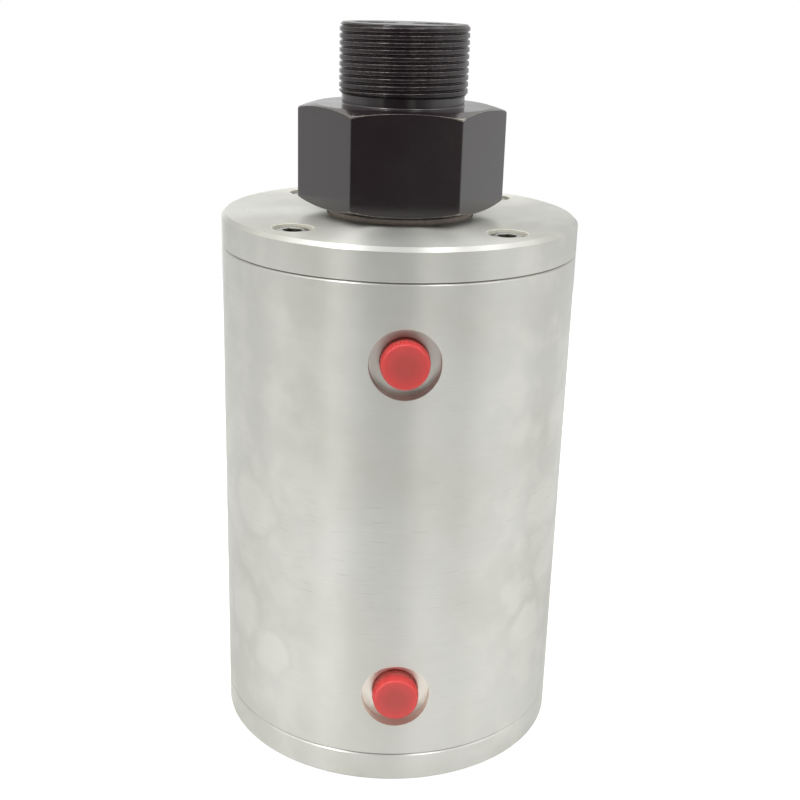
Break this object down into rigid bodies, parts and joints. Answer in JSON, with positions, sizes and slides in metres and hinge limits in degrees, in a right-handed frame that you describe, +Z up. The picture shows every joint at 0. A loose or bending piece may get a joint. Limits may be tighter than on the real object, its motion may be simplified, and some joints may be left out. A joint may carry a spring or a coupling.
{
  "type": "hydraulic rotary union",
  "caption": "Cylindrical hydraulic rotary union: aluminium housing with side ports, bolted covers and a black steel rotor with a hexagon and threaded end.",
  "frame": {"origin": "centre of the base, on the rotor's axis", "axes": "+Z up along the rotor's axis, towards its threaded end; the side ports face -Y"},
  "size_m": [0.11, 0.1122, 0.225],
  "materials": {
    "aluminium": "fine turned",
    "black_steel": "black oxide, oiled",
    "screw_steel": "zinc plated",
    "spring_steel": "phosphated",
    "bearing_steel": "ground",
    "cage_plastic": "moulded polyamide",
    "seal_ptfe": "bronze-filled, machined",
    "seal_rubber": "moulded",
    "wiper_rubber": "moulded, greasy",
    "red_plastic": "soft moulded"
  },
  "bodies": {
    "root": {"housing": "aluminium", "top_cover": "aluminium", "bottom_cover": "aluminium", "top_cover_screws": "screw_steel", "bottom_cover_screws": "screw_steel", "wiper": "wiper_rubber", "top_cover_o_ring": "seal_rubber", "bottom_cover_o_ring": "seal_rubber", "upper_passage_top_slide_ring": "seal_ptfe", "upper_passage_bottom_slide_ring": "seal_ptfe", "lower_passage_top_slide_ring": "seal_ptfe", "lower_passage_bottom_slide_ring": "seal_ptfe", "upper_passage_top_energiser": "seal_rubber", "upper_passage_bottom_energiser": "seal_rubber", "lower_passage_top_energiser": "seal_rubber", "lower_passage_bottom_energiser": "seal_rubber", "top_bearing_outer_race": "bearing_steel", "bottom_bearing_outer_race": "bearing_steel"},
    "rotor": {"rotor": "black_steel", "top_bearing_inner_race": "bearing_steel", "bottom_bearing_inner_race": "bearing_steel", "retaining_ring": "spring_steel"},
    "top_cage": {"top_bearing_cage": "cage_plastic", "top_bearing_balls": "bearing_steel"},
    "bottom_cage": {"bottom_bearing_cage": "cage_plastic", "bottom_bearing_balls": "bearing_steel"},
    "upper_plug": {"upper_port_plug": "red_plastic"},
    "lower_plug": {"lower_port_plug": "red_plastic"}
  },
  "joints": [
    {"name": "rotor_spin", "type": "hinge", "parent": "root", "child": "rotor", "pos_m": [0, 0, 0.1], "axis": [0, 0, 1], "continuous": true},
    {"name": "top_cage_spin", "type": "hinge", "parent": "root", "child": "top_cage", "pos_m": [0, 0, 0.15475], "axis": [0, 0, 1], "continuous": true},
    {"name": "bottom_cage_spin", "type": "hinge", "parent": "root", "child": "bottom_cage", "pos_m": [0, 0, 0.01225], "axis": [0, 0, 1], "continuous": true},
    {"name": "upper_plug_pull", "type": "slide", "parent": "root", "child": "upper_plug", "axis": [0, -1, 0], "range_m": [0, 0.06]},
    {"name": "lower_plug_pull", "type": "slide", "parent": "root", "child": "lower_plug", "axis": [0, -1, 0], "range_m": [0, 0.06]}
  ],
  "couplings": [
    {"joint": "top_cage_spin", "follows": "rotor_spin", "ratio": 0.43961},
    {"joint": "bottom_cage_spin", "follows": "rotor_spin", "ratio": 0.43778}
  ]
}
